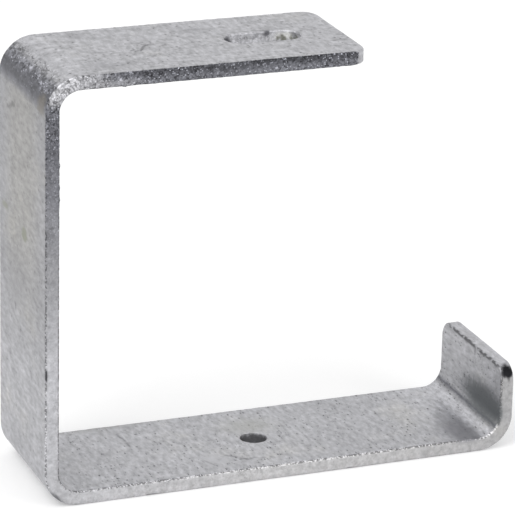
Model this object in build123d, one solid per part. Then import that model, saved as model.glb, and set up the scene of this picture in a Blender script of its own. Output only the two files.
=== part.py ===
from build123d import *
import os

# Cable tray bracket: one flat bar, folded three times and punched twice, that
# hangs from its upper flange and carries a tray on its lower one.
# Millimetres. The origin is the slot's centre on the upper flange's top face,
# +Z is up, and both flanges run along +Y from the web to their free ends.

# Flat bar
bar_width = 50.0
bar_thickness = 5.0
bar_edge_radius = 0.8
end_corner_radius = 6.0

# Folds, all three to one inside radius
inside_bend_radius = 7.0

# Space kept open for the tray, between the inside faces
tray_space_width = 158.0
tray_space_height = 137.0

# Lip, measured over the outside faces
lip_height = 30.0

# Hang line, the upright through the middle of the tray's load
hang_line_from_web = 77.5
upper_flange_past_hang_line = 27.5

# Openings, both on the hang line
slot_width = 11.0
slot_length = 26.0
tray_hole_diameter = 9.0
punched_rim_radius = 0.5

# Faces of the folded bar, worked out from the sizes above
upper_flange_top_z = 0.0
upper_flange_inside_z = upper_flange_top_z - bar_thickness
tray_seat_z = upper_flange_inside_z - tray_space_height
underside_z = tray_seat_z - bar_thickness
lip_top_z = underside_z + lip_height
web_outside_y = -hang_line_from_web - bar_thickness
upper_flange_end_y = upper_flange_past_hang_line
lip_inside_y = tray_space_width - hang_line_from_web
lip_outside_y = lip_inside_y + bar_thickness


def outline_edges(bar):
    """The edges where a side, end or corner wall meets an outer or inner face."""
    faces = bar.faces()
    sharp_edges = []
    for edge in bar.edges():
        middle = edge.position_at(0.5)
        normals = [face.normal_at(middle) for face in faces if edge in face.edges()]
        if len(normals) == 2 and normals[0].get_angle(normals[1]) > 45:
            sharp_edges.append(edge)
    return sharp_edges


with BuildPart() as bracket:
    # Fold the bar along its outside face: upper flange, web, lower flange, lip
    with BuildLine(Plane.YZ.offset(-bar_width / 2)):
        FilletPolyline(
            (upper_flange_end_y, upper_flange_top_z),
            (web_outside_y, upper_flange_top_z),
            (web_outside_y, underside_z),
            (lip_outside_y, underside_z),
            (lip_outside_y, lip_top_z),
            radius=inside_bend_radius + bar_thickness,
        )
    make_brake_formed(bar_thickness, bar_width, side=Side.RIGHT)

    # Round the plan corners of both free ends
    flange_end = bracket.faces().filter_by(Axis.Y).sort_by(Axis.Z)[-1]
    lip_end = bracket.faces().filter_by(Axis.Z).sort_by(SortBy.AREA)[0]
    flange_corners = flange_end.edges().filter_by(Axis.Z)
    lip_corners = lip_end.edges().filter_by(Axis.Y)
    fillet(flange_corners + lip_corners, end_corner_radius)

    # Soften the whole outline, as on a rolled bar under its coating
    fillet(outline_edges(bracket.part), bar_edge_radius)

    # Punch the hanging slot through the upper flange
    with BuildSketch(Plane.XY.offset(upper_flange_top_z)):
        SlotOverall(slot_length, slot_width, rotation=90)
    extrude(amount=-bar_thickness, mode=Mode.SUBTRACT)

    # Punch the tray bolt hole through the lower flange, straight below the slot
    with BuildSketch(Plane.XY.offset(tray_seat_z)):
        Circle(tray_hole_diameter / 2)
    extrude(amount=-bar_thickness, mode=Mode.SUBTRACT)

    # Ease the rims that the punched openings leave in the flat faces
    rim_wires = [wire for face in bracket.faces() for wire in face.inner_wires()]
    fillet([edge for wire in rim_wires for edge in wire.edges()], punched_rim_radius)

os.makedirs("parts", exist_ok=True)
export_step(bracket.part, "parts/c_bracket.step")
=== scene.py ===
import logging
import math
from dataclasses import dataclass
from enum import Enum

import bmesh
import bpy
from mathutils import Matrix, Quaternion, Vector, noise


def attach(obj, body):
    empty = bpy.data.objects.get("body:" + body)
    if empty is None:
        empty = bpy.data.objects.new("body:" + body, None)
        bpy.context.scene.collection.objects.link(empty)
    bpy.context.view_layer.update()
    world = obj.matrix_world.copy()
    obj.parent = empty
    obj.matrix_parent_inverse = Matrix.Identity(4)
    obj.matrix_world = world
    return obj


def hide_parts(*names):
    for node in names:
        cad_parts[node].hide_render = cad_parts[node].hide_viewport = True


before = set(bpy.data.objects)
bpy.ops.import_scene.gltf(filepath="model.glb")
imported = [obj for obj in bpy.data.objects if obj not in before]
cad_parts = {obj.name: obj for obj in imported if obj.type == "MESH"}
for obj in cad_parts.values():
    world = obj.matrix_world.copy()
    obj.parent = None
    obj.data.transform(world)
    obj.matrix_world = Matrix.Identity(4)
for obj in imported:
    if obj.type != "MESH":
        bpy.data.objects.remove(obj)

# Looks of a hot-dip galvanised cable tray bracket, folded from one flat bar.
# The bar is laid out flat in millimetres as (across, station, depth), where the
# station runs along the bar from the upper flange's free end to the lip's and
# the depth runs from the outer face to the inner one. It is then folded.

log = logging.getLogger("cable_tray_bracket")
MILLIMETRE = 0.001
FLAT_PLACE = "flat_place"
MARK_TINT = "mark_tint"
Mesh, Edges = bmesh.types.BMesh, list[bmesh.types.BMEdge]
Pair, Triple = tuple[float, float], tuple[float, float, float]
# Pairs of a station along the bar and a level from 0 to 1
Stops = tuple[tuple[float, float], ...]


class Blend(Enum):
    """How a layer is laid over the tone below it."""

    MULTIPLY = "MULTIPLY"
    MIX = "MIX"
    ADD = "ADD"


def place_object(name: str, data: bpy.types.ID) -> bpy.types.Object:
    """Put a new object in the scene.

    Args:
        name: Its name.
        data: Its mesh, lamp or camera.

    Returns:
        The object.
    """
    placed = bpy.data.objects.new(name, data)
    bpy.context.collection.objects.link(placed)
    return placed


def place_mesh(name: str, mesh: Mesh, material: bpy.types.Material) -> bpy.types.Object:
    """Turn a finished mesh into an object with one material.

    Args:
        name: The object's name.
        mesh: Its mesh, which is used up.
        material: Its material.

    Returns:
        The object.
    """
    data = bpy.data.meshes.new(name)
    mesh.to_mesh(data)
    mesh.free()
    data.materials.append(material)
    return place_object(name, data)


def smooth_step(low: float, high: float, value: float) -> float:
    """Ease a value from 0 at one limit to 1 at another.

    Args:
        low: Value that gives 0.
        high: Value that gives 1.
        value: Value to ease.

    Returns:
        A number from 0 to 1.
    """
    share = min(1.0, max(0.0, (value - low) / (high - low)))
    return share * share * (3.0 - 2.0 * share)


@dataclass(frozen=True)
class Run:
    """One straight or bent stretch of the folded bar, in the upright plane of the fold."""

    first_station: float
    length: float
    start: Vector
    heading: float
    bend_radius: float

    def place(self, station: float, offset: float) -> Vector:
        """Give the place of a point of the bar.

        Args:
            station: Distance along the bar's middle surface.
            offset: Distance from the middle surface towards the inner face.

        Returns:
            The point as (y, z).
        """
        travelled = station - self.first_station
        if self.bend_radius == 0.0:
            along = Vector((math.cos(self.heading), math.sin(self.heading)))
            inward = Vector((-along.y, along.x))
            return self.start + along * travelled + inward * offset
        first_inward = Vector((-math.sin(self.heading), math.cos(self.heading)))
        centre = self.start + first_inward * self.bend_radius
        turned = self.heading + travelled / self.bend_radius
        inward = Vector((-math.sin(turned), math.cos(turned)))
        return centre - inward * (self.bend_radius - offset)

    def last_place(self) -> Vector:
        """Give the middle point where the run ends."""
        return self.place(self.first_station + self.length, 0.0)

    def last_heading(self) -> float:
        """Give the heading where the run ends."""
        return self.heading + (self.length / self.bend_radius if self.bend_radius else 0.0)


@dataclass(frozen=True)
class Contour:
    """A closed line in the flat bar's plan: all points at one distance from a core rectangle."""

    centre_across: float
    centre_station: float
    core_across: float
    core_station: float
    radius: float
    side: float

    def core_point(self, point: Vector) -> Vector:
        """Find the nearest point of the core rectangle.

        Args:
            point: Point of the plan.

        Returns:
            The point of the core.
        """
        across = max(-self.core_across, min(self.core_across, point.x - self.centre_across))
        station = max(-self.core_station, min(self.core_station, point.y - self.centre_station))
        return Vector((self.centre_across + across, self.centre_station + station))

    def reach(self, point: Vector) -> float:
        """Give the distance of a point of the plan from the core rectangle."""
        return (point.xy - self.core_point(point)).length

    def frames(self, point: Vector, margin: float) -> bool:
        """Tell whether a point of the plan lies in a window round the core.

        Args:
            point: Point of the plan.
            margin: How far the window reaches past the core on each side.

        Returns:
            Whether it does.
        """
        across, station = abs(point.x - self.centre_across), abs(point.y - self.centre_station)
        return across < self.core_across + margin and station < self.core_station + margin

    def at(self, point: Vector, radius: float, depth: float) -> Vector:
        """Move a point straight out from the core rectangle.

        Args:
            point: Point of the plan.
            radius: Distance from the core that it gets.
            depth: Depth under the outer face that it gets.

        Returns:
            The new place in the flat bar.
        """
        core = self.core_point(point)
        return (core + (point.xy - core).normalized() * radius).to_3d() + Vector((0.0, 0.0, depth))

    def depth_inside_material(self, point: Vector) -> float:
        """Give how far a point of the plan lies from the line, into the steel."""
        return self.side * (self.radius - self.reach(point))


@dataclass(frozen=True)
class Lump:
    """A drop or run of zinc that stands proud of the coat, or a pit where it is negative."""

    across: float
    station: float
    depth: float
    size_across: float
    size_station: float
    size_depth: float
    height: float

    def rise(self, place: Vector) -> float:
        """Tell how far the lump lifts the coat.

        Args:
            place: Place in the flat bar.

        Returns:
            The lift.
        """
        away = Vector((
            (place.x - self.across) / self.size_across,
            (place.y - self.station) / self.size_station,
            (place.z - self.depth) / self.size_depth,
        )).length
        return self.height * (1.0 - smooth_step(0.2, 1.0, away))


@dataclass(frozen=True)
class ZincCoat:
    """The unevenness of the zinc that the bar is dipped in."""

    room: float = 0.17
    wave_height: float = 0.05
    wave_length: float = 17.0
    ripple_height: float = 0.018
    ripple_length: float = 3.6
    bead_height: float = 0.11
    bead_length: float = 1.7
    grain_height: float = 0.13
    grain_length: float = 1.25
    edge_band: Pair = (0.5, 1.8)
    side_band: Pair = (24.0, 24.8)
    coarse_start: Pair = (1.0, 4.0)
    coarse_end: Pair = (150.0, 210.0)
    lumps: tuple[Lump, ...] = ()

    def thickness(self, place: Vector, edge: float, coarse: float) -> float:
        """Give how far the coat stands over the bar.

        Args:
            place: Place in the flat bar.
            edge: 1 on an edge of the bar and 0 away from it.
            coarse: 1 where the zinc has set in coarse grains and 0 where it is smooth.

        Returns:
            The coat's thickness.
        """
        wave = noise.noise(place / self.wave_length) * self.wave_height
        ripple_place = place / self.ripple_length + Vector((7.0, 3.0, 5.0))
        ripple = noise.noise(ripple_place) * self.ripple_height
        bead_place = Vector((place.x / 3.0, place.y, place.z / 2.0)) / self.bead_length
        bead = (0.5 + noise.noise(bead_place)) * self.bead_height * edge
        grain_place = place / self.grain_length + Vector((0.0, 11.0, 2.0))
        grain = noise.noise(grain_place) * self.grain_height * coarse
        lump = sum(one.rise(place) for one in self.lumps)
        even = 0.45 * self.room
        return min(self.room, even + wave + ripple + 0.5 * bead + grain) + lump


@dataclass(frozen=True, eq=False)
class Signal:
    """A value that changes over the surface: a node's output, with arithmetic that adds Math nodes."""

    graph: "Graph"
    socket: bpy.types.NodeSocket

    def __add__(self, other: object) -> "Signal":
        """Add a number."""
        return self.graph.math("ADD", self, other)

    def __sub__(self, other: object) -> "Signal":
        """Take a number away."""
        return self.graph.math("SUBTRACT", self, other)

    def __rsub__(self, other: float) -> "Signal":
        """Take this value from a number."""
        return self.graph.math("SUBTRACT", other, self)

    def __mul__(self, other: object) -> "Signal":
        """Multiply by a number."""
        return self.graph.math("MULTIPLY", self, other)

    def __truediv__(self, other: object) -> "Signal":
        """Divide by a number."""
        return self.graph.math("DIVIDE", self, other)

    def __rtruediv__(self, other: float) -> "Signal":
        """Divide a number by this value."""
        return self.graph.math("DIVIDE", other, self)

    def __abs__(self) -> "Signal":
        """Drop the sign."""
        return self.graph.math("ABSOLUTE", self)

    def at_least(self, other: object) -> "Signal":
        """Give the larger of this value and a number."""
        return self.graph.math("MAXIMUM", self, other)

    def clamped(self) -> "Signal":
        """Keep the result of the last Math node from 0 to 1."""
        self.socket.node.use_clamp = True
        return self

    __radd__, __rmul__ = __add__, __mul__


@dataclass(frozen=True)
class Graph:
    """A node tree that is filled by short calls."""

    tree: bpy.types.NodeTree

    @classmethod
    def of(cls, owner: bpy.types.ID) -> "Graph":
        """Give the emptied node tree of a material or a world.

        Args:
            owner: The material or world.

        Returns:
            Its graph.
        """
        owner.use_nodes = True
        owner.node_tree.nodes.clear()
        return cls(owner.node_tree)

    def node(self, kind: str, inputs: dict | None = None, **settings: object) -> bpy.types.Node:
        """Add a node.

        Args:
            kind: The node's type.
            inputs: Signals, sockets or values for its inputs, by name or number.
            settings: Its settings by name.

        Returns:
            The node.
        """
        added = self.tree.nodes.new(kind)
        for name, value in settings.items():
            setattr(added, name, value)
        for key, value in (inputs or {}).items():
            value = value.socket if isinstance(value, Signal) else value
            if isinstance(value, bpy.types.NodeSocket):
                self.tree.links.new(value, added.inputs[key])
            else:
                added.inputs[key].default_value = value
        return added

    def signals(self, kind: str, inputs: dict | None = None, **settings: object) -> list[Signal]:
        """Add a node and give all its outputs."""
        return [Signal(self, one) for one in self.node(kind, inputs, **settings).outputs]

    def math(self, operation: str, first: object, second: object = 0.0) -> Signal:
        """Add a Math node."""
        return self.signals("ShaderNodeMath", {0: first, 1: second}, operation=operation)[0]

    def vector(self, operation: str, first: object, second: object) -> Signal:
        """Add a Vector Math node that gives a vector."""
        return self.signals("ShaderNodeVectorMath", {0: first, 1: second}, operation=operation)[0]

    def reach(self, first: Signal, second: Signal) -> Signal:
        """Give the length of a line from its two legs."""
        return self.math("SQRT", first * first + second * second)

    def noise(self, place: Signal, scale: object, detail: object) -> Signal:
        """Add a Noise Texture node, with a level around 0.5."""
        inputs = {"Vector": place, "Scale": scale, "Detail": detail, "Roughness": 0.58}
        return self.signals("ShaderNodeTexNoise", inputs)[0]

    def cells(self, place: Signal, scale: Signal) -> tuple[Signal, Signal, Signal]:
        """Add a Voronoi Texture node.

        Args:
            place: Place in the pattern.
            scale: Cells to a millimetre.

        Returns:
            The distance from the cell's middle, and two random levels that each cell has.
        """
        distance, colour = self.signals("ShaderNodeTexVoronoi", {"Vector": place, "Scale": scale})[:2]
        first, second, _ = self.signals("ShaderNodeSeparateColor", {0: colour})
        return distance, first, second

    def share_of(self, level: Signal, share: Signal, sharpness: float) -> Signal:
        """Cut a noise into islands.

        Args:
            level: Noise around 0.5.
            share: About the share of the surface that they cover, from 0 to 1.
            sharpness: How quickly the islands end.

        Returns:
            A mask from 0 to 1.
        """
        return ((level - (0.72 - share * 0.44)) * sharpness).clamped()

    def spread(
        self, value: Signal, low: float, high: float, bottom: float = 0.0, top: float = 1.0
    ) -> Signal:
        """Add a Map Range node with eased ends.

        Args:
            value: Value to turn into another.
            low: Input that gives the bottom.
            high: Input that gives the top.
            bottom: Output at the low end.
            top: Output at the high end.

        Returns:
            The output.
        """
        inputs = {"Value": value, "From Min": low, "From Max": high, "To Min": bottom, "To Max": top}
        return self.signals("ShaderNodeMapRange", inputs, interpolation_type="SMOOTHSTEP")[0]

    def between(self, factor: Signal, first: object, second: object) -> Signal:
        """Mix two numbers, the second by the factor."""
        return self.signals("ShaderNodeMix", {0: factor, 2: first, 3: second}, data_type="FLOAT")[0]

    def layer(self, factor: object, below: object, above: object, blend: Blend = Blend.MIX) -> Signal:
        """Lay a colour over another.

        Args:
            factor: Share of the upper colour.
            below: Lower colour.
            above: Upper colour.
            blend: How the upper colour is laid.

        Returns:
            The mixed colour.
        """
        inputs = {0: factor, 6: below, 7: above}
        return self.signals("ShaderNodeMix", inputs, data_type="RGBA", blend_type=blend.value)[2]

    def grey(self, level: object) -> Signal:
        """Turn a level into a colour."""
        return self.signals("ShaderNodeCombineColor", dict.fromkeys(range(3), level))[0]

    def ramp(self, value: Signal, stops: Stops, length: float) -> Signal:
        """Read a number off a smooth line through given stops.

        Args:
            value: Place on the line.
            stops: The stops.
            length: Place of the last possible stop.

        Returns:
            The level.
        """
        [level, _] = self.signals("ShaderNodeValToRGB", {0: (value / length).clamped()})
        line = level.socket.node.color_ramp
        line.interpolation = "EASE"
        while len(line.elements) < len(stops):
            line.elements.new(1.0)
        for element, (place, height) in zip(line.elements, stops):
            element.position = place / length
            element.color = (height, height, height, 1.0)
        return level

    def stretched(self, place: Signal, scale: Triple, turn: float = 0.0) -> Signal:
        """Draw a pattern's place out along one direction of the flat bar.

        Args:
            place: Place in the flat bar.
            scale: Scale across, along and through the bar.
            turn: Turn in the bar's plan, in degrees.

        Returns:
            The place to feed to the pattern.
        """
        inputs = {"Vector": place, "Rotation": (0.0, 0.0, math.radians(turn))}
        [turned] = self.signals("ShaderNodeMapping", inputs, vector_type="POINT")
        return self.vector("MULTIPLY", turned, scale)

    def seen(self) -> Signal:
        """Give 1 for what the camera sees, straight, in a gloss or through glass, and 0 otherwise."""
        rays = {one.socket.name: one for one in self.signals("ShaderNodeLightPath")}
        return rays["Is Camera Ray"].at_least(rays["Is Glossy Ray"]).at_least(rays["Is Transmission Ray"])


class SharedPattern:
    """A shader node group with named inputs and outputs, built once and placed where it is used."""

    name: str
    inputs: dict[str, float]
    outputs: tuple[str, ...]

    def __init__(self) -> None:
        """Build the group."""
        self.graph = Graph(bpy.data.node_groups.new(self.name, "ShaderNodeTree"))
        sockets = self.graph.tree.interface
        sockets.new_socket(name="Place", in_out="INPUT", socket_type="NodeSocketVector")
        for name, level in self.inputs.items():
            added = sockets.new_socket(name=name, in_out="INPUT", socket_type="NodeSocketFloat")
            added.default_value = level
        for name in self.outputs:
            sockets.new_socket(name=name, in_out="OUTPUT", socket_type="NodeSocketFloat")
        given = self.graph.signals("NodeGroupInput")
        self.given = {one.socket.name: one for one in given}
        self.graph.node("NodeGroupOutput", dict(zip(self.outputs, self.draw())))

    def draw(self) -> tuple[Signal, ...]:
        """Draw the group's inside and give its outputs in order."""
        raise NotImplementedError

    def lay(self, graph: Graph, place: Signal, **values: object) -> list[Signal]:
        """Place the group in a material.

        Args:
            graph: The material's graph.
            place: Place in the pattern.
            values: The other inputs by name, with _ for a space.

        Returns:
            The group's outputs in order.
        """
        inputs = {name.replace("_", " "): value for name, value in values.items()}
        inputs["Place"] = place
        return graph.signals("ShaderNodeGroup", inputs, node_tree=self.graph.tree)


class CloudPattern(SharedPattern):
    """Soft clouds with a finer mottle in them, around a level of 0."""

    name, outputs = "zinc_cloud", ("Level",)
    inputs = {"Size": 10.0, "Detail": 4.0, "Contrast": 1.0}

    def draw(self) -> tuple[Signal, ...]:
        """Give the level."""
        cloud = self.graph.noise(self.given["Place"], 1.0 / self.given["Size"], self.given["Detail"])
        return ((cloud - 0.5) * self.given["Contrast"],)


class CrystalPattern(SharedPattern):
    """Small crystal faces: each cell has its own level, and a few of them glint, as a painted highlight
    added to the colour.
    """

    name, outputs = "zinc_crystals", ("Level", "Glint")
    inputs = {"Size": 0.7, "Glint Share": 0.1}

    def draw(self) -> tuple[Signal, ...]:
        """Draw the cells.

        Returns:
            Their level and the mask of the glints.
        """
        distance, level, chance = self.graph.cells(self.given["Place"], 1.0 / self.given["Size"])
        glint = self.graph.math("GREATER_THAN", chance, 1.0 - self.given["Glint Share"])
        return level - 0.5, glint * self.graph.spread(distance, 0.25, 0.6, 1.0, 0.0)


class StrokePattern(SharedPattern):
    """Thin broken strokes that wander through the coat like the edges of a dried film."""

    name, outputs = "zinc_strokes", ("Line", "Wave")
    inputs = {"Size": 1.0, "Width": 0.05, "Cover": 0.5}

    def draw(self) -> tuple[Signal, ...]:
        """Draw the strokes.

        Returns:
            Their mask and the wave that they follow.
        """
        place, scale = self.given["Place"], 1.0 / self.given["Size"]
        wave = self.graph.noise(place, scale, 3.0) - 0.5
        line = (1.0 - abs(wave) / self.given["Width"]).clamped()
        breaks = self.graph.noise(place, scale * 0.6, 2.0)
        return line * self.graph.share_of(breaks, self.given["Cover"], 12.0), wave


class FleckPattern(SharedPattern):
    """Small dark flecks of uneven outline and strength, strewn at random."""

    name, outputs = "zinc_flecks", ("Fleck",)
    inputs = {"Size": 1.0, "Share": 0.2}

    def draw(self) -> tuple[Signal, ...]:
        """Draw the flecks.

        Returns:
            Their mask.
        """
        graph, place, size = self.graph, self.given["Place"], self.given["Size"]
        scale = 1.0 / size
        sway = graph.signals("ShaderNodeTexNoise", {"Vector": place, "Scale": scale * 1.7})[1]
        centred = graph.vector("SUBTRACT", sway, (0.5, 0.5, 0.5))
        push = graph.node("ShaderNodeVectorMath", {0: centred, "Scale": size * 0.9}, operation="SCALE")
        bent = graph.vector("ADD", place, push.outputs[0])
        distance, chance, strength = graph.cells(bent, scale)
        present = graph.math("GREATER_THAN", chance, 1.0 - self.given["Share"])
        return (present * (strength * 0.7 + 0.3) * graph.spread(distance, 0.16, 0.42, 1.0, 0.0),)


class SeamPattern(SharedPattern):
    """A broken dark line along an edge of the bar, and beads of zinc whose brightness is a painted
    highlight.
    """

    name, outputs = "zinc_seam", ("Dark", "Bead")
    inputs = {"Distance": 0.0, "Width": 0.4, "Dark Share": 0.5, "Bead Share": 0.2}
    bead_shift = (31.0, 17.0, 5.0)

    def draw(self) -> tuple[Signal, ...]:
        """Draw the line and the beads.

        Returns:
            Their masks.
        """
        graph, place = self.graph, self.given["Place"]
        near = (1.0 - self.given["Distance"] / self.given["Width"]).clamped()
        near = (near * 1.8).clamped()
        dash = graph.share_of(graph.noise(place, 1.15, 1.5), self.given["Dark Share"], 11.0)
        shifted = graph.vector("ADD", place, self.bead_shift)
        bead = graph.share_of(graph.noise(shifted, 1.35, 1.0), self.given["Bead Share"], 16.0)
        return near * dash * (1.0 - bead), near * bead


class ZincPatterns:
    """The patterns that the zinc finish is laid up from, each built once."""

    def __init__(self) -> None:
        """Build each pattern."""
        self.cloud, self.crystals, self.strokes = CloudPattern(), CrystalPattern(), StrokePattern()
        self.flecks, self.seam = FleckPattern(), SeamPattern()


@dataclass(frozen=True)
class Mark:
    """A local patch drawn on the coat, a stain or a painted shade or highlight: its place and size in the
    flat bar and the colour that it turns to.
    """

    middle: Triple
    size: Triple
    colour: Triple
    strength: float
    ragged: float = 0.8
    softness: float = 0.6

    def cover(self, place: Vector) -> float:
        """Tell how far the mark covers the coat.

        Args:
            place: Place in the flat bar.

        Returns:
            A share from 0 to 1.
        """
        legs = [abs(here - own) / size for here, own, size in zip(place, self.middle, self.size)]
        if max(legs) > 1.0 + self.ragged:
            return 0.0
        away = Vector(legs).length + noise.noise(place * 0.8) * 0.4 * self.ragged
        return self.strength * (1.0 - smooth_step(1.0 - self.softness, 1.0, away))


@dataclass(frozen=True)
class Scratch:
    """A thin line between two places of the flat bar, which darkens the coat or lightens it below 0."""

    start: Triple
    finish: Triple
    width: float
    darkening: float

    def cover(self, place: Vector) -> float:
        """Tell how far the line covers the coat.

        Args:
            place: Place in the flat bar.

        Returns:
            A share from 0 to 1.
        """
        start, finish = Vector(self.start), Vector(self.finish)
        if not min(start.y, finish.y) - 3.0 < place.y < max(start.y, finish.y) + 3.0:
            return 0.0
        course = finish - start
        share = max(0.0, min(1.0, (place - start).dot(course) / course.length_squared))
        distance = (place - start - course * share).length
        near = min(1.0, 2.0 * max(0.0, 1.0 - distance / self.width))
        return near * smooth_step(-0.5, -0.1, noise.noise(place * 0.9))


@dataclass(frozen=True)
class SurfaceTone:
    """How light the surface is drawn, painted shade and highlights included, and how coarse the zinc has
    set, along one surface of the bar.
    """

    level: Stops
    grain: Stops


@dataclass(frozen=True)
class EdgeSeam:
    """The seam along an edge of the bar: its place in the section and its shares by station."""

    across: float
    depth: float
    width: float
    dark: Stops
    beads: Stops


@dataclass(frozen=True)
class Zones:
    """Masks, from 0 to 1, of the bar's surfaces."""

    side: Signal
    end: Signal
    inner: Signal
    web: Signal
    wall: Signal
    upper: Signal


@dataclass(frozen=True)
class Layers:
    """The patterns as they lie on the bar."""

    cloud: Signal
    mottle: Signal
    wave: Signal
    line: Signal
    film: Signal
    fleck: Signal
    crystal: Signal
    glint: Signal
    dark: Signal
    bead: Signal


@dataclass(frozen=True)
class GalvanisedFinish:
    """Hot-dip zinc, dull grey and mottled, coarse and darker along the upper edges of the bar, partly from
    painted shade; the colour also holds painted highlights and reflections.
    """

    name: str = "galvanised_steel"
    colour: Triple = (0.535, 0.535, 0.56)
    warm_cast: tuple[float, float, float, float] = (1.02, 1.0, 0.925, 1.0)
    cool_cast: tuple[float, float, float, float] = (0.965, 0.98, 1.06, 1.0)
    metallic: float = 0.85
    smooth_roughness: float = 0.46
    coarse_roughness: float = 0.58
    relief_depth: float = 0.16
    cut_level: float = 0.86
    bar_length: float = 427.8
    slot_station: float = 27.5
    slot_half_straight: float = 7.5
    hole_station: float = 321.35
    side_border: Pair = (24.25, 24.75)
    inner_border: Pair = (2.3, 2.7)
    upper_border: Pair = (112.0, 104.0)
    web_start: Pair = (108.0, 116.0)
    web_finish: Pair = (262.0, 236.0)
    slot_wall: Pair = (6.0, 5.6)
    hole_wall: Pair = (5.0, 4.65)
    # The sides are dark along the upper flange and the top of the web and lighten lower down: partly the
    # zinc's own coarse grain, partly painted shade.
    side: SurfaceTone = SurfaceTone(
        level=(
            (0, 0.66), (3, 0.23), (40, 0.26), (72, 0.24), (85, 0.40), (95, 0.60), (103, 0.86),
            (108, 0.78), (112, 0.26), (121, 0.28), (135, 0.34), (152, 0.46), (170, 0.60),
            (186, 0.74), (200, 0.92), (222, 0.90), (240, 0.86), (262, 0.96), (300, 0.97),
            (350, 0.93), (392, 0.84), (402, 0.74), (412, 0.72), (427.8, 0.72),
        ),
        grain=(
            (0, 0.3), (4, 1), (20, 0.85), (45, 0.6), (65, 0.85), (90, 0.75), (108, 0.85),
            (119, 0.8), (128, 0.45), (145, 0.25), (165, 0.14), (190, 0.10), (427.8, 0.06),
        ),
    )
    # The outer face's dark band round the upper bend, stations 103 to 114, is a painted dark reflection; the
    # coarse grain in it is the zinc's own.
    outer: SurfaceTone = SurfaceTone(
        level=(
            (0, 0.83), (60, 0.83), (92, 0.82), (98.5, 0.90), (102, 0.85), (103.8, 0.62),
            (105.8, 0.36), (107.5, 0.30), (109.8, 0.19), (111.2, 0.34), (113.8, 0.58), (125, 0.62),
            (150, 0.64), (175, 0.61), (195, 0.70), (212, 0.79), (427.8, 0.84),
        ),
        grain=(
            (0, 0), (100.5, 0), (102.5, 0.25), (104, 0.75), (107, 0.85), (109, 0.3), (112, 0.12),
            (118, 0), (427.8, 0),
        ),
    )
    # The inner face's bright band on the lip's bend, stations 390 to 402, is a painted highlight, and the
    # dark groove after it, stations 403 to 405, a painted dark reflection.
    inner: SurfaceTone = SurfaceTone(
        level=(
            (0, 0.78), (250, 0.80), (262, 0.86), (320, 0.86), (360, 0.80), (378, 0.84), (390, 0.93),
            (398, 1), (402.2, 1), (402.9, 0.60), (403.4, 0.24), (404.6, 0.28), (405.4, 0.70),
            (410, 0.74), (427.8, 0.84),
        ),
        grain=(
            (0, 0.1), (230, 0), (384, 0), (395, 0.06), (405, 0.18), (408, 0.10), (414, 0),
            (427.8, 0),
        ),
    )
    seams: tuple[EdgeSeam, ...] = (
        EdgeSeam(
            24.6, 4.7, 0.66,
            (
                (0, 0), (110, 0.1), (150, 0.50), (185, 0.66), (240, 0.66), (300, 0.62), (370, 0.74),
                (410, 0.66), (427.8, 0.6),
            ),
            (
                (0, 0), (240, 0.1), (262, 0.30), (300, 0.46), (350, 0.52), (368, 0.32), (392, 0.36),
                (400, 0.66), (408, 0.4), (427.8, 0.1),
            ),
        ),
        EdgeSeam(
            24.75, 0.22, 0.60,
            (
                (0, 0.40), (30, 0.66), (60, 0.45), (100, 0.35), (116, 0.20), (140, 0.50),
                (170, 0.62), (235, 0.62), (250, 0.20), (427.8, 0.14),
            ),
            (
                (0, 0.30), (20, 0.18), (40, 0.14), (100, 0.16), (114, 0), (190, 0.05), (215, 0.30),
                (228, 0.58), (236, 0.2), (427.8, 0),
            ),
        ),
    )


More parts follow.
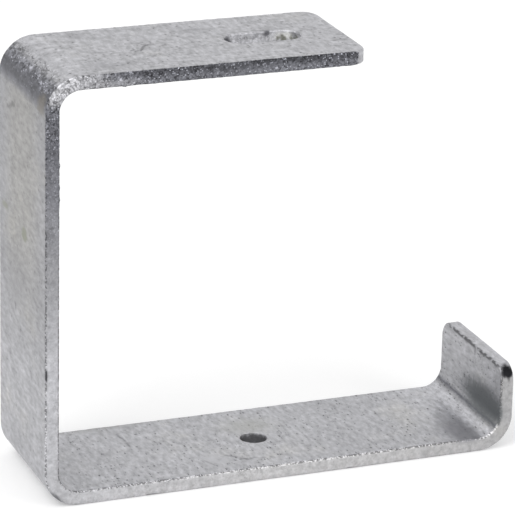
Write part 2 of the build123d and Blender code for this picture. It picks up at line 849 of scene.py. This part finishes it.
class ZincMaterial:
    """The galvanised finish as a material, laid up part by part."""

    def __init__(self, finish: GalvanisedFinish, patterns: ZincPatterns) -> None:
        """Start the material and read where a shaded point lies in the flat bar.

        Args:
            finish: The zinc's looks.
            patterns: The shared node groups.
        """
        self.finish, self.patterns = finish, patterns
        self.material = bpy.data.materials.new(finish.name)
        self.graph = graph = Graph.of(self.material)
        place = graph.node("ShaderNodeAttribute", attribute_name=FLAT_PLACE).outputs["Vector"]
        self.place = Signal(graph, place)
        self.across, self.station, self.depth = graph.signals("ShaderNodeSeparateXYZ", {0: place})
        self.off_middle = abs(self.across)
        wobble = patterns.cloud.lay(graph, self.place, Size=2.6, Detail=5.0, Contrast=4.0)[0]
        self.rough_station = self.station + wobble
        self.zones = self.find_zones()
        self.level, self.grain = self.lay_tone()
        self.layers = self.lay_patterns()

    def find_zones(self) -> Zones:
        """Tell the bar's sides, ends, inner face, web and punched walls apart.

        Returns:
            Their masks.
        """
        graph, finish, station = self.graph, self.finish, self.station
        first_end = graph.spread(station, 0.7, 0.25)
        last_end = graph.spread(station, finish.bar_length - 0.7, finish.bar_length - 0.25)
        from_slot = (abs(station - finish.slot_station) - finish.slot_half_straight).at_least(0.0)
        slot_wall = graph.spread(graph.reach(self.across, from_slot), *finish.slot_wall)
        hole_reach = graph.reach(self.across, station - finish.hole_station)
        return Zones(
            side=graph.spread(self.off_middle, *finish.side_border),
            end=first_end.at_least(last_end),
            inner=graph.spread(self.depth, *finish.inner_border),
            web=graph.spread(station, *finish.web_start) * graph.spread(station, *finish.web_finish),
            wall=slot_wall.at_least(graph.spread(hole_reach, *finish.hole_wall)),
            upper=graph.spread(station, *finish.upper_border),
        )

    def lay_tone(self) -> tuple[Signal, Signal]:
        """Read the tone of each surface along the bar.

        Returns:
            How light the surface is drawn, painted shade, highlights and reflections included, and how
            coarse it has set.
        """
        graph, finish, zones = self.graph, self.finish, self.zones
        calm = self.rough_station * 0.3 + self.station * 0.7
        courses = ((self.rough_station, finish.side), (calm, finish.outer), (calm, finish.inner))
        read = []
        for choose in ("level", "grain"):
            side, outer, inner = (
                graph.ramp(course, getattr(tone, choose), finish.bar_length)
                for course, tone in courses
            )
            read.append(graph.between(zones.side, graph.between(zones.inner, outer, inner), side))
        level = graph.between(zones.end.at_least(zones.wall), read[0], finish.cut_level)
        grain = graph.between(zones.wall, graph.between(zones.end, read[1], 0.08), 0.34)
        upper_side = zones.side * graph.spread(self.station, 98.0, 78.0)
        return level * (1.0 - upper_side * graph.spread(self.depth, 3.4, 1.2, -0.22, 0.34)), grain

    def lay_seams(self) -> tuple[Signal, Signal]:
        """Lay the seams along the bar's edges.

        Returns:
            The masks of the dark lines and of the bright beads.
        """
        graph, length = self.graph, self.finish.bar_length
        dark, bead = 0.0, 0.0
        for seam in self.finish.seams:
            own_dark, own_bead = self.patterns.seam.lay(
                graph,
                self.place,
                Distance=graph.reach(self.off_middle - seam.across, self.depth - seam.depth),
                Width=seam.width,
                Dark_Share=graph.ramp(self.station, seam.dark, length),
                Bead_Share=graph.ramp(self.station, seam.beads, length),
            )
            dark, bead = own_dark.at_least(dark), own_bead.at_least(bead)
        return dark, bead

    def lay_patterns(self) -> Layers:
        """Lay clouds, wrinkles, slanting streaks, flecks, crystals and seams over the bar.

        Returns:
            The layers.
        """
        graph, place, zones = self.graph, self.place, self.zones
        clouds, strokes = self.patterns.cloud, self.patterns.strokes
        flecks, crystals = self.patterns.flecks, self.patterns.crystals
        fine = graph.stretched(place, (0.45, 1.0, 1.0))
        along = graph.stretched(place, (1.0, 0.22, 1.0))
        slanted = graph.stretched(place, (0.34, 0.8, 1.0), -32.0)
        short = graph.stretched(place, (0.5, 0.6, 1.0))
        upper = zones.upper
        line, wrinkle = strokes.lay(graph, along, Size=1.9, Width=0.045, Cover=0.5)
        slant = strokes.lay(graph, slanted, Size=3.0, Width=0.03, Cover=0.4)[1]
        flat_fleck = flecks.lay(graph, fine, Size=0.95, Share=0.3)[0]
        long_fleck = flecks.lay(graph, short, Size=0.8, Share=0.3)[0]
        fleck = graph.between(upper.at_least(zones.web), flat_fleck, long_fleck)
        grains, grain_glint = crystals.lay(graph, fine, Size=0.52, Glint_Share=0.14)
        chips, chip_glint = crystals.lay(graph, fine, Size=1.15, Glint_Share=0.03)
        dark, bead = self.lay_seams()
        return Layers(
            cloud=clouds.lay(graph, place, Size=12.0, Detail=4.0, Contrast=0.42)[0],
            mottle=clouds.lay(graph, fine, Size=1.7, Detail=8.0, Contrast=1.5)[0],
            wave=graph.between(zones.web, wrinkle, slant),
            line=line * upper * (1.0 - zones.inner),
            film=strokes.lay(graph, place, Size=4.6, Width=0.012, Cover=0.5)[0],
            fleck=fleck * graph.between(zones.web, 1.0, 0.5) * graph.between(zones.side, 1.0, 0.35),
            crystal=(grains + chips * 0.75) * self.grain,
            glint=grain_glint.at_least(chip_glint) * self.grain,
            dark=dark,
            bead=bead,
        )

    def mix_tone(self) -> Signal:
        """Lay the patterns over the level: most scale it, and the glints and the beads' brightness are added
        as painted highlights.

        Returns:
            The tone.
        """
        graph, zones, layers = self.graph, self.zones, self.layers
        upper = zones.upper
        change = (
            layers.cloud
            + layers.mottle
            + layers.wave * graph.between(zones.web, upper * 0.42, 0.42)
            + layers.line * -0.30
            + layers.film * zones.inner * -0.30
            + layers.fleck * graph.between(zones.inner, -0.60, -0.70)
        )
        change *= graph.between(zones.side, 1.0, 0.7) * (1.0 - self.grain).clamped()
        tone = self.level * (1.0 + change + layers.crystal * 1.15).at_least(0.12)
        # The glints are painted highlights added to the colour.
        tone = (tone + layers.glint * 0.62) * (1.0 - layers.dark * 0.55)
        # The beads are real zinc beads; their brightness, up to 1.45, is a painted highlight.
        return graph.between(layers.bead * 0.85, tone, 1.45).at_least(0.05)

    def mix_colour(self) -> Signal:
        """Colour the tone: cool zinc, a little olive in places and most of all on the upper web.

        Returns:
            The colour, with the marks that the mesh carries laid over it.
        """
        graph, zones = self.graph, self.zones
        warm = self.patterns.cloud.lay(graph, self.place, Size=24.0, Detail=4.0, Contrast=3.4)[0]
        upper_web = zones.web * graph.spread(self.station, 205.0, 150.0)
        upper_web *= graph.spread(self.off_middle, 24.0, 6.0)
        lower_side = zones.side * graph.spread(self.station, 200.0, 330.0)
        warm_share = graph.spread(warm, 0.1, 0.9, 0.0, 0.6) + upper_web * 0.8 + lower_side * 0.45
        warm_share = graph.math("MINIMUM", warm_share, 1.0)
        cast = graph.layer(warm_share, (1.0, 1.0, 1.0, 1.0), self.finish.warm_cast)
        cast = graph.layer(graph.spread(self.level, 0.6, 0.25, 0.0, 0.8), cast, self.finish.cool_cast)
        colour = graph.layer(1.0, (*self.finish.colour, 1.0), cast, Blend.MULTIPLY)
        colour = graph.layer(1.0, colour, graph.grey(self.mix_tone()), Blend.MULTIPLY)
        marked = graph.node("ShaderNodeAttribute", attribute_name=MARK_TINT).outputs
        colour = graph.layer(1.0, colour, graph.grey(marked["Alpha"]), Blend.MULTIPLY)
        return graph.layer(1.0, colour, marked["Color"], Blend.ADD)

    def finished(self) -> bpy.types.Material:
        """Join colour, roughness and the relief that is too fine for the mesh.

        Returns:
            The finished material.
        """
        graph, layers, finish = self.graph, self.layers, self.finish
        relief = (
            layers.mottle * 0.45
            + layers.wave * 0.3
            + layers.line * -0.3
            + layers.fleck * -0.3
            + layers.crystal * 0.7
            + layers.dark * -0.6
            + layers.bead * 0.6
        )
        bump = {"Strength": 0.6, "Distance": finish.relief_depth * MILLIMETRE, "Height": relief}
        roughness = graph.between(self.grain, finish.smooth_roughness, finish.coarse_roughness)
        inputs = {
            "Base Color": self.mix_colour(),
            "Metallic": finish.metallic,
            "Roughness": roughness + layers.mottle * 0.22,
            "Normal": graph.signals("ShaderNodeBump", bump)[0],
        }
        shader = graph.node("ShaderNodeBsdfPrincipled", inputs)
        graph.node("ShaderNodeOutputMaterial", {"Surface": shader.outputs[0]})
        return self.material


@dataclass
class GalvanisedBar:
    """The bracket's one piece: a flat bar, folded three times, punched twice and dipped in zinc."""

    name: str
    finish: GalvanisedFinish
    coat: ZincCoat
    marks: tuple[Mark, ...]
    scratches: tuple[Scratch, ...]
    bare_zinc: Triple = (0.5, 0.5, 0.52)
    sway_length: float = 1.0 / 0.45
    sway_reach: float = 0.7
    width: float = 50.0
    thickness: float = 5.0
    upper_flange: float = 110.0
    height: float = 147.0
    depth: float = 168.0
    lip: float = 30.0
    inside_bend_radius: float = 7.0
    corner_radius: float = 6.0
    edge_radius: float = 0.9
    rim_radius: float = 0.65
    free_end: float = 27.5
    slot_width: float = 11.0
    slot_length: float = 26.0
    hole_diameter: float = 9.0
    cell_across: float = 0.96
    cell_along: float = 0.62
    window_margin: float = 2.5
    window_rings: int = 4
    rounding_rings: int = 4
    wall_rings: int = 3

    def runs(self) -> list[Run]:
        """List the bar's straights and bends.

        Returns:
            The runs in order, from the upper free end to the lip's.
        """
        outside = self.inside_bend_radius + self.thickness
        middle = self.inside_bend_radius + self.thickness / 2.0
        straights = (
            self.upper_flange - outside,
            self.height - 2.0 * outside,
            self.depth - 2.0 * outside,
            self.lip - outside,
        )
        listed: list[Run] = []
        start, heading, station = Vector((self.free_end, -self.thickness / 2.0)), math.pi, 0.0
        for index, length in enumerate(straights):
            listed.append(Run(station, length, start, heading, 0.0))
            station += length
            start = listed[-1].last_place()
            if index < len(straights) - 1:
                listed.append(Run(station, middle * math.pi / 2.0, start, heading, middle))
                station += listed[-1].length
                start, heading = listed[-1].last_place(), listed[-1].last_heading()
        return listed

    def bar_length(self) -> float:
        """Give the length of the flat bar before it is folded."""
        last = self.runs()[-1]
        return last.first_station + last.length

    def outline(self) -> Contour:
        """Give the flat bar's own outline.

        Returns:
            The outline.
        """
        length = self.bar_length()
        across, along = self.width / 2.0 - self.corner_radius, length / 2.0 - self.corner_radius
        return Contour(0.0, length / 2.0, across, along, self.corner_radius, 1.0)

    def openings(self) -> tuple[Contour, Contour]:
        """Give the rims of both openings.

        Returns:
            The hanging slot's and the tray hole's.
        """
        half = (self.slot_length - self.slot_width) / 2.0
        lower = self.runs()[4]
        hole_station = lower.first_station - lower.start.x
        return (
            Contour(0.0, self.free_end, 0.0, half, self.slot_width / 2.0, -1.0),
            Contour(0.0, hole_station, 0.0, 0.0, self.hole_diameter / 2.0, -1.0),
        )

    def lay_sheet(self, mesh: Mesh) -> None:
        """Lay out one face of the flat bar as a fine grid with round corners.

        Args:
            mesh: Mesh that gets the grid.
        """
        length = self.bar_length()
        wide, long = self.width - 2.0 * self.edge_radius, length - 2.0 * self.edge_radius
        columns, rows = round(wide / self.cell_across), round(long / self.cell_along)
        bmesh.ops.create_grid(mesh, x_segments=columns, y_segments=rows, size=0.5)
        bmesh.ops.scale(mesh, vec=(wide, long, 1.0), verts=mesh.verts)
        bmesh.ops.translate(mesh, vec=(0.0, length / 2.0, 0.0), verts=mesh.verts)
        outline = self.outline()
        reach = self.corner_radius - self.edge_radius
        for vertex in mesh.verts:
            core = outline.core_point(vertex.co)
            a, b = (vertex.co.x - core.x) / reach, (vertex.co.y - core.y) / reach
            if a and b:
                round_a, round_b = a * math.sqrt(1.0 - b * b / 2.0), b * math.sqrt(1.0 - a * a / 2.0)
                vertex.co = Vector((core.x + round_a * reach, core.y + round_b * reach, 0.0))

    def extrude_ring(
        self, mesh: Mesh, edges: Edges, contour: Contour, radius: float, depth: float, steps_left: int = 1
    ) -> Edges:
        """Extrude a closed row of edges to a new ring round a contour.

        Args:
            mesh: Mesh that grows.
            edges: Edges of the last ring.
            contour: Contour that the ring goes round.
            radius: Distance from the contour's core.
            depth: Depth under the outer face.
            steps_left: Rings that are still to come on the way there, this one included.

        Returns:
            The new ring's edges.
        """
        grown = bmesh.ops.extrude_edge_only(mesh, edges=edges)["geom"]
        for vertex in (one for one in grown if isinstance(one, bmesh.types.BMVert)):
            target = contour.at(vertex.co, radius, depth)
            vertex.co = vertex.co.lerp(target, 1.0 / steps_left)
        return [one for one in grown if isinstance(one, bmesh.types.BMEdge) and one.is_boundary]

    def wrap_edge(self, mesh: Mesh, edges: Edges, contour: Contour, rounding: float) -> None:
        """Carry a sheet's border round its edge and down to the middle of the bar's thickness.

        Args:
            mesh: Mesh that grows.
            edges: Edges of the sheet's border.
            contour: Contour of the border.
            rounding: Radius of the rounded edge.
        """
        for part in range(1, self.rounding_rings + 1):
            angle = math.radians(90.0 * part / self.rounding_rings)
            radius = contour.radius + contour.side * rounding * (math.sin(angle) - 1.0)
            edges = self.extrude_ring(mesh, edges, contour, radius, rounding * (1.0 - math.cos(angle)))
        for part in range(1, self.wall_rings + 1):
            depth = rounding + (self.thickness / 2.0 - rounding) * part / self.wall_rings
            edges = self.extrude_ring(mesh, edges, contour, contour.radius, depth)

    def punch(self, mesh: Mesh, contour: Contour) -> None:
        """Cut a window into the sheet and lead its border to an opening's rim.

        Args:
            mesh: Mesh that is cut.
            contour: The opening.
        """
        margin = contour.radius + self.window_margin
        inside = [face for face in mesh.faces if contour.frames(face.calc_center_median(), margin)]
        bmesh.ops.delete(mesh, geom=inside, context="FACES")
        edges = [
            edge
            for edge in mesh.edges
            if edge.is_boundary and contour.frames((edge.verts[0].co + edge.verts[1].co) / 2.0, margin + 1.0)
        ]
        rim = contour.radius + self.rim_radius
        for steps_left in range(self.window_rings, 0, -1):
            edges = self.extrude_ring(mesh, edges, contour, rim, 0.0, steps_left)
        self.wrap_edge(mesh, edges, contour, self.rim_radius)

    def add_inner_half(self, mesh: Mesh) -> None:
        """Copy the outer half of the bar to the inner side and join both along the walls' middle.

        Args:
            mesh: Mesh that grows.
        """
        half = mesh.verts[:] + mesh.edges[:] + mesh.faces[:]
        copied = bmesh.ops.duplicate(mesh, geom=half)["geom"]
        copied_vertices = [one for one in copied if isinstance(one, bmesh.types.BMVert)]
        copied_faces = [one for one in copied if isinstance(one, bmesh.types.BMFace)]
        bmesh.ops.translate(mesh, vec=(0.0, 0.0, -self.thickness), verts=copied_vertices)
        bmesh.ops.scale(mesh, vec=(1.0, 1.0, -1.0), verts=copied_vertices)
        bmesh.ops.reverse_faces(mesh, faces=copied_faces)
        seam = [vertex for vertex in mesh.verts if abs(vertex.co.z - self.thickness / 2.0) < 0.001]
        bmesh.ops.remove_doubles(mesh, verts=seam, dist=0.001)

    def fold(self, mesh: Mesh) -> None:
        """Fold the flat bar along its runs.

        Args:
            mesh: Mesh that is folded.
        """
        runs = self.runs()
        for vertex in mesh.verts:
            across, station, depth = vertex.co
            run = next((one for one in runs if station <= one.first_station + one.length), runs[-1])
            folded = run.place(station, depth - self.thickness / 2.0)
            vertex.co = Vector((across, folded.x, folded.y))

    def dip(self, mesh: Mesh, flat: bmesh.types.BMLayerItem) -> None:
        """Lay the uneven zinc coat over the folded bar.

        Args:
            mesh: Mesh of the folded bar.
            flat: Layer that holds each vertex's place in the flat bar.
        """
        coat, contours = self.coat, (self.outline(), *self.openings())
        mesh.normal_update()
        moves = []
        for vertex in mesh.verts:
            place = Vector(vertex[flat])
            through = min(place.z, self.thickness - place.z)
            inward = min(max(0.0, one.depth_inside_material(place)) for one in contours)
            nearest = math.hypot(inward, through)
            edge = 1.0 - smooth_step(*coat.edge_band, nearest)
            on_side = smooth_step(*coat.side_band, abs(place.x))
            upper = smooth_step(*coat.coarse_start, place.y) - smooth_step(*coat.coarse_end, place.y)
            thickness = coat.thickness(place, edge, on_side * upper)
            moves.append(vertex.normal * (thickness - coat.room))
        half_width = self.width / 2.0
        for vertex, move in zip(mesh.verts, moves):
            vertex.co += move
            vertex.co.x = max(-half_width, min(half_width, vertex.co.x))

    def stain_and_shade(self, mesh: Mesh, flat: bmesh.types.BMLayerItem) -> None:
        """Keep the marks and scratches with the mesh, stains and painted shade and highlights alike.

        The vertex colour is what they add, and its alpha the share of the coat's own that stays.

        Args:
            mesh: Mesh of the flat bar.
            flat: Layer that holds each vertex's place in the flat bar.
        """
        tint = mesh.verts.layers.float_color.new(MARK_TINT)
        for vertex in mesh.verts:
            place = Vector(vertex[flat])
            added, kept = Vector(), 1.0
            for mark in self.marks:
                cover = mark.cover(place)
                added = added.lerp(Vector(mark.colour), cover)
                kept *= 1.0 - cover
            sway_place = place / self.sway_length
            sway = noise.noise(sway_place), noise.noise(sway_place + Vector((6.3, 0.2, 2.7)))
            bent = place + Vector((*sway, 0.0)) * self.sway_reach
            for scratch in self.scratches:
                darker = scratch.cover(bent) * scratch.darkening
                stays = 1.0 - max(0.0, darker)
                kept *= stays
                added = added * stays + Vector(self.bare_zinc) * max(0.0, -darker)
            vertex[tint] = (*added, kept)

    def build(self, patterns: ZincPatterns) -> bpy.types.Object:
        """Build the piece, dress it and put it in the frame.

        Args:
            patterns: The shared node groups.

        Returns:
            The finished object.
        """
        mesh = bmesh.new()
        self.lay_sheet(mesh)
        for contour in self.openings():
            self.punch(mesh, contour)
        border = [edge for edge in mesh.edges if edge.is_boundary and edge.verts[0].co.z == 0.0]
        self.wrap_edge(mesh, border, self.outline(), self.edge_radius)
        self.add_inner_half(mesh)
        flat = mesh.verts.layers.float_vector.new(FLAT_PLACE)
        for vertex in mesh.verts:
            vertex[flat] = vertex.co
        self.stain_and_shade(mesh, flat)
        self.fold(mesh)
        bmesh.ops.recalc_face_normals(mesh, faces=mesh.faces)
        self.dip(mesh, flat)
        open_edges = sum(1 for edge in mesh.edges if not edge.is_manifold)
        bmesh.ops.scale(mesh, vec=(MILLIMETRE,) * 3, verts=mesh.verts)
        piece = place_mesh(self.name, mesh, ZincMaterial(self.finish, patterns).finished())
        data = piece.data
        data.polygons.foreach_set("use_smooth", [True] * len(data.polygons))
        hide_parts("c_bracket")
        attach(piece, "root")
        log.info("%s: %d faces, %d open edges", self.name, len(data.polygons), open_edges)
        return piece


@dataclass(frozen=True)
class Softbox:
    """One large soft lamp: where it hangs, its width and height, and its power."""

    name: str
    place: Triple
    size: Pair
    power: float

    def hang(self, aim: Triple) -> None:
        """Hang the lamp.

        Args:
            aim: The place that it faces.
        """
        data = bpy.data.lights.new(self.name, "AREA")
        data.shape, data.energy = "RECTANGLE", self.power
        data.size, data.size_y = self.size
        lamp = place_object(self.name, data)
        lamp.location = self.place
        lamp.rotation_euler = (Vector(aim) - Vector(self.place)).to_track_quat("-Z", "Y").to_euler()


@dataclass
class Studio:
    """The pale floor, the soft light and the camera."""

    floor_half_size: float = 6.0
    floor_level: float = -0.147
    floor_colour: tuple[float, float, float, float] = (0.80, 0.80, 0.80, 1.0)
    floor_lift: float = 0.25
    fill_level: float = 0.80
    camera_place: Triple = (1.002853, -0.397613, 0.312092)
    camera_aim: Triple = (0.0, 0.0, -0.076907)
    camera_roll: float = 1.334
    camera_lens: float = 239.62
    sensor_width: float = 36.0
    camera_sight: Pair = (0.05, 50.0)
    softbox_aim: Triple = (0.0, 0.0, -0.07)
    softboxes: tuple[Softbox, ...] = (
        Softbox("key_softbox", (0.7, -1.1, 1.6), (1.2, 1.2), 16.0),
        Softbox("side_softbox", (1.6, 1.2, 0.9), (0.9, 1.2), 7.0),
    )

    def lay_floor(self) -> None:
        """Make the floor, white to the camera and still holding the object's shadow."""
        mesh = bmesh.new()
        bmesh.ops.create_grid(mesh, x_segments=1, y_segments=1, size=self.floor_half_size)
        bmesh.ops.translate(mesh, vec=(0.0, 0.0, self.floor_level), verts=mesh.verts)
        made = bpy.data.materials.new("pale_floor")
        graph = Graph.of(made)
        paint = graph.node("ShaderNodeBsdfDiffuse", {"Color": self.floor_colour})
        lift = graph.node("ShaderNodeEmission", {"Strength": graph.seen() * self.floor_lift})
        both = graph.node("ShaderNodeAddShader", {0: paint.outputs[0], 1: lift.outputs[0]})
        graph.node("ShaderNodeOutputMaterial", {"Surface": both.outputs[0]})
        floor = place_mesh("studio_floor", mesh, made)

    def fill_world(self) -> None:
        """Make the even fill light, with white seen behind the object and in its gloss."""
        world = bpy.data.worlds.new("studio_fill")
        graph = Graph.of(world)
        strength = graph.between(graph.seen(), self.fill_level, 1.0)
        white = (1.0, 1.0, 1.0, 1.0)
        light = graph.node("ShaderNodeBackground", {"Color": white, "Strength": strength})
        graph.node("ShaderNodeOutputWorld", {"Surface": light.outputs[0]})
        bpy.context.scene.world = world

    def place_camera(self) -> None:
        """Put the camera at the photograph's viewing angle."""
        data = bpy.data.cameras.new("studio_camera")
        data.sensor_width, data.lens = self.sensor_width, self.camera_lens
        data.clip_start, data.clip_end = self.camera_sight
        camera = place_object("studio_camera", data)
        facing = (Vector(self.camera_aim) - Vector(self.camera_place)).to_track_quat("-Z", "Y")
        camera.rotation_mode = "QUATERNION"
        roll = Quaternion((0.0, 0.0, 1.0), math.radians(self.camera_roll))
        camera.rotation_quaternion = facing @ roll
        camera.location = self.camera_place
        bpy.context.scene.camera = camera

    def build(self) -> None:
        """Set up the whole studio."""
        bpy.context.scene.view_settings.view_transform = "Standard"
        self.lay_floor()
        self.fill_world()
        self.place_camera()
        for softbox in self.softboxes:
            softbox.hang(self.softbox_aim)
        log.info("studio: floor, fill light, camera and %d softboxes", len(self.softboxes))


# The coat's chief marks, scratches and lumps, placed in the flat bar; some marks are painted shade or
# highlights, as noted at each
DULL, OLIVE, BLACK = (0.27, 0.27, 0.29), (0.25, 0.26, 0.21), (0.045, 0.045, 0.05)
MARKS = (
    Mark((-13, 47, 0), (7, 8, 2), DULL, 0.36, 2.2, 0.9),
    Mark((-18, 86, 0), (6, 6, 2), DULL, 0.34, 2.2, 0.9),
    Mark((16, 87, 0), (7, 7.5, 2), DULL, 0.42, 2.2, 0.9),
    Mark((-18, 156.5, 0), (4.6, 1.7, 2), OLIVE, 0.75),
    Mark((2.6, 160, 0), (3.3, 3, 2), OLIVE, 0.9, 0.5, 0.35),
    Mark((19.5, 111.5, 0), (5, 4, 2), (0.20, 0.18, 0.15), 0.6),
    Mark((-3, 180, 0), (19, 15, 2), DULL, 0.22, 1.2, 0.9),
    Mark((-25, 275, 5), (5.5, 26, 2), (0.33, 0.33, 0.32), 0.45, 1.5, 0.9),
    Mark((-10, 323, 5), (11, 15, 2), (0.40, 0.40, 0.37), 0.45, 1.2, 0.9),
    Mark((14, 302, 5), (8, 6, 2), (0.50, 0.50, 0.52), 0.55, 1.2, 0.6),
    # Painted shade: the two dark patches on the inner face about the lip's bend.
    Mark((18, 390.5, 5), (24, 8.5, 2), (0.25, 0.25, 0.27), 0.75, 0.35, 0.85),
    Mark((13, 410.2, 5), (26, 9.6, 2), (0.12, 0.13, 0.135), 0.92, 0.35, 0.65),
    Mark((24.4, 426.4, 2.2), (4.2, 4, 3.3), (0.01, 0.01, 0.012), 1, 0.6, 0.4),
    # Painted shade: the dark inside the tray hole.
    Mark((0, 321.35, 2.2), (7.5, 7.5, 3.1), (0.10, 0.10, 0.105), 0.88, 0.5, 0.35),
    # Painted shade: the dark far end wall of the slot.
    Mark((-3.5, 40.2, 2.9), (5.6, 5, 2.9), (0.09, 0.09, 0.10), 0.95, 0.2, 0.3),
    Mark((-5.9, 24, 0.9), (1.8, 1.9, 1.5), (0.10, 0.10, 0.11), 0.9, 0.6, 0.6),
    # Painted highlight: the bright stretch of the slot's wall near its end.
    Mark((-5, 17, 1.9), (2.4, 6.5, 1.9), (0.78, 0.78, 0.76), 0.7, 0.9, 0.6),
    Mark((-4.6, 18.5, 3.2), (2.5, 2, 1.9), (0.12, 0.12, 0.09), 0.85, 2, 0.5),
    Mark((-4, 15, 2.6), (2.5, 1.6, 1.9), (0.14, 0.14, 0.10), 0.8, 2, 0.5),
    Mark((25, 27, 0.4), (0.9, 2.8, 0.7), BLACK, 0.85, 0.5, 0.5),
    Mark((25, 35.5, 0.3), (0.9, 2.2, 0.6), BLACK, 0.75, 0.6, 0.5),
    Mark((25, 201, 0.3), (0.9, 2.8, 0.8), BLACK, 0.95, 0.4, 0.5),
    Mark((25, 243.5, 0.4), (1, 3.2, 0.8), (0.12, 0.12, 0.13), 0.8, 0.8, 0.6),
    Mark((25, 275.5, 0.3), (0.9, 2.2, 0.7), (0.14, 0.14, 0.15), 0.7, 0.8, 0.6),
    Mark((25, 347, 0.3), (0.9, 2.4, 0.6), (0.18, 0.18, 0.19), 0.7, 0.8, 0.6),
)
SCRATCHES = (
    Scratch((-1.8, 65.1, 0), (-1.4, 67.7, 0), 0.75, 0.43),
    Scratch((-2.2, 67.2, 0), (-3.8, 69.9, 0), 0.75, 0.43),
    Scratch((-1.4, 67.7, 0), (1.4, 69.5, 0), 0.70, 0.51),
    Scratch((1.4, 69.5, 0), (3.6, 71.1, 0), 0.70, 0.51),
    Scratch((3.6, 71.1, 0), (3.4, 73.4, 0), 0.75, 0.51),
    Scratch((3.4, 73.4, 0), (0.4, 72.3, 0), 0.60, 0.43),
    Scratch((-0.6, 61, 0), (1.2, 63.5, 0), 0.70, 0.43),
    Scratch((8.2, 66.5, 0), (11.2, 69.7, 0), 0.70, 0.38),
    Scratch((10.5, 2, 0), (11.2, 9, 0), 0.55, 0.34),
    Scratch((3, 98, 0), (-12, 87, 0), 0.55, -0.12),
    Scratch((-3, 97, 0), (-14, 84, 0), 0.45, -0.10),
    Scratch((-15, 122, 0), (-7, 118, 0), 1.10, 0.34),
    Scratch((-7.5, 187.5, 0), (-6.5, 188.5, 0), 1.00, 0.38),
    Scratch((-16, 278.2, 5), (-3.5, 278.8, 5), 0.60, 0.47),
    Scratch((11, 297, 5), (18, 300.5, 5), 0.50, 0.25),
    Scratch((18, 300.5, 5), (12, 306, 5), 0.50, 0.24),
    Scratch((11.5, 307, 5), (16.5, 312.5, 5), 0.80, 0.38),
    Scratch((16.5, 312.5, 5), (18, 322, 5), 0.80, 0.34),
    Scratch((5.9, 20, 0.1), (6.1, 37, 0.1), 0.45, 0.38),
    Scratch((-7.4, 15, 0), (-7.2, 36, 0), 0.50, 0.25),
    Scratch((-25, 427.1, 4.8), (22, 427.1, 4.8), 0.80, 0.75),
    Scratch((3, 424.5, 5), (3.5, 427, 5), 0.90, 0.43),
    Scratch((7.5, 424.8, 5), (8, 427, 5), 0.80, 0.43),
)
LUMPS = (
    Lump(24.7, 83.5, 5, 1.1, 1, 1.1, 0.30),
    Lump(24.6, 130, 5, 1.2, 1, 1.2, 0.24),
    Lump(24.6, 137.5, 5, 1.2, 1.1, 1.2, 0.22),
    Lump(24.6, 141.5, 5, 1.2, 0.9, 1.2, 0.26),
    Lump(25, 126, 2, 1.5, 1.8, 1.4, -0.20),
    Lump(25, 133, 3.3, 1.5, 2.2, 1.3, -0.18),
    Lump(25, 141, 1.8, 1.5, 2, 1.5, -0.22),
)


def main() -> None:
    """Build the studio and the bracket, and report each piece."""
    logging.basicConfig(level=logging.INFO, format="%(message)s")
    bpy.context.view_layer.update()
    Studio().build()
    patterns = ZincPatterns()
    coat = ZincCoat(lumps=LUMPS)
    GalvanisedBar("galvanised_bar", GalvanisedFinish(), coat, MARKS, SCRATCHES).build(patterns)


if __name__ == "__main__":
    main()
